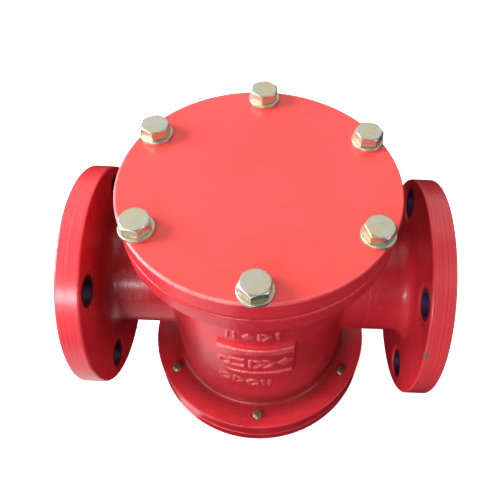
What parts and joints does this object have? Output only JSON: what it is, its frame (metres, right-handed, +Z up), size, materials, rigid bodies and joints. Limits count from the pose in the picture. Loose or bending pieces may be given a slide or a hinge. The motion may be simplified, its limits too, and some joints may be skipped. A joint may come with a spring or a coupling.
{
  "type": "basket strainer",
  "caption": "Flanged cast-iron pot strainer with a bolted flat cover, a lift-out perforated basket with a bail handle, and a bolted bottom plate.",
  "frame": {"origin": "middle of the footprint, at the level of the bottom bolt heads that the strainer stands on", "axes": "+X along the pipe in the direction of flow, +Z up through the cover, +Y to the back"},
  "size_m": [0.29, 0.206, 0.2553],
  "materials": {
    "painted_iron": "glossy red enamel on a casting",
    "painted_cover": "glossy red enamel on a machined plate",
    "gasket": "matt, with paint on its edge",
    "zinc_bolt": "yellow passivated zinc",
    "plain_bolt": "dull passivated steel",
    "stainless": "satin stainless"
  },
  "bodies": {
    "housing": {"body": "painted_iron", "inlet_branch": "painted_iron", "outlet_branch": "painted_iron", "cover_gasket": "gasket", "bottom_gasket": "gasket", "bottom_plate": "painted_iron", "basket_gasket": "gasket", "bottom_bolt_1": "plain_bolt", "bottom_bolt_2": "plain_bolt", "bottom_bolt_3": "plain_bolt", "bottom_bolt_4": "plain_bolt", "bottom_bolt_5": "plain_bolt", "bottom_bolt_6": "plain_bolt"},
    "cover": {"top_cover": "painted_cover"},
    "basket": {"basket_rim": "stainless", "basket_screen": "stainless", "basket_floor": "stainless", "basket_window_frame": "stainless", "basket_lug_front": "stainless", "basket_lug_back": "stainless"},
    "handle": {"basket_handle": "stainless"},
    "washer_1": {"cover_washer_1": "zinc_bolt"},
    "bolt_1": {"cover_bolt_1": "zinc_bolt"},
    "washer_2": {"cover_washer_2": "zinc_bolt"},
    "bolt_2": {"cover_bolt_2": "zinc_bolt"},
    "washer_3": {"cover_washer_3": "zinc_bolt"},
    "bolt_3": {"cover_bolt_3": "zinc_bolt"},
    "washer_4": {"cover_washer_4": "zinc_bolt"},
    "bolt_4": {"cover_bolt_4": "zinc_bolt"},
    "washer_5": {"cover_washer_5": "zinc_bolt"},
    "bolt_5": {"cover_bolt_5": "zinc_bolt"},
    "washer_6": {"cover_washer_6": "zinc_bolt"},
    "bolt_6": {"cover_bolt_6": "zinc_bolt"}
  },
  "joints": [
    {"name": "cover_lift", "type": "slide", "parent": "housing", "child": "cover", "axis": [0, 0, 1], "range_m": [0, 0.3]},
    {"name": "basket_lift", "type": "slide", "parent": "housing", "child": "basket", "axis": [0, 0, 1], "range_m": [0, 0.21]},
    {"name": "handle_swing", "type": "hinge", "parent": "basket", "child": "handle", "pos_m": [0, 0, 0.184], "axis": [0, -1, 0], "range_deg": [0, 189]},
    {"name": "bolt_1_travel", "type": "slide", "parent": "cover", "child": "washer_1", "axis": [0, 0, 1], "range_m": [0, 0.015]},
    {"name": "bolt_1_turn", "type": "hinge", "parent": "washer_1", "child": "bolt_1", "pos_m": [-0.00157, 0.08999, 0.2478], "axis": [0, 0, 1], "range_deg": [0, 3086.7]},
    {"name": "bolt_2_travel", "type": "slide", "parent": "cover", "child": "washer_2", "axis": [0, 0, 1], "range_m": [0, 0.015]},
    {"name": "bolt_2_turn", "type": "hinge", "parent": "washer_2", "child": "bolt_2", "pos_m": [-0.07872, 0.04363, 0.2478], "axis": [0, 0, 1], "range_deg": [0, 3086.7]},
    {"name": "bolt_3_travel", "type": "slide", "parent": "cover", "child": "washer_3", "axis": [0, 0, 1], "range_m": [0, 0.015]},
    {"name": "bolt_3_turn", "type": "hinge", "parent": "washer_3", "child": "bolt_3", "pos_m": [-0.07715, -0.04635, 0.2478], "axis": [0, 0, 1], "range_deg": [0, 3086.7]},
    {"name": "bolt_4_travel", "type": "slide", "parent": "cover", "child": "washer_4", "axis": [0, 0, 1], "range_m": [0, 0.015]},
    {"name": "bolt_4_turn", "type": "hinge", "parent": "washer_4", "child": "bolt_4", "pos_m": [0.00157, -0.08999, 0.2478], "axis": [0, 0, 1], "range_deg": [0, 3086.7]},
    {"name": "bolt_5_travel", "type": "slide", "parent": "cover", "child": "washer_5", "axis": [0, 0, 1], "range_m": [0, 0.015]},
    {"name": "bolt_5_turn", "type": "hinge", "parent": "washer_5", "child": "bolt_5", "pos_m": [0.07872, -0.04363, 0.2478], "axis": [0, 0, 1], "range_deg": [0, 3086.7]},
    {"name": "bolt_6_travel", "type": "slide", "parent": "cover", "child": "washer_6", "axis": [0, 0, 1], "range_m": [0, 0.015]},
    {"name": "bolt_6_turn", "type": "hinge", "parent": "washer_6", "child": "bolt_6", "pos_m": [0.07715, 0.04635, 0.2478], "axis": [0, 0, 1], "range_deg": [0, 3086.7]}
  ],
  "couplings": [
    {"joint": "basket_lift", "follows": "cover_lift", "ratio": 0.7},
    {"joint": "bolt_1_turn", "follows": "bolt_1_travel", "rad_per_m": 3590.4},
    {"joint": "bolt_2_turn", "follows": "bolt_2_travel", "rad_per_m": 3590.4},
    {"joint": "bolt_3_turn", "follows": "bolt_3_travel", "rad_per_m": 3590.4},
    {"joint": "bolt_4_turn", "follows": "bolt_4_travel", "rad_per_m": 3590.4},
    {"joint": "bolt_5_turn", "follows": "bolt_5_travel", "rad_per_m": 3590.4},
    {"joint": "bolt_6_turn", "follows": "bolt_6_travel", "rad_per_m": 3590.4}
  ]
}
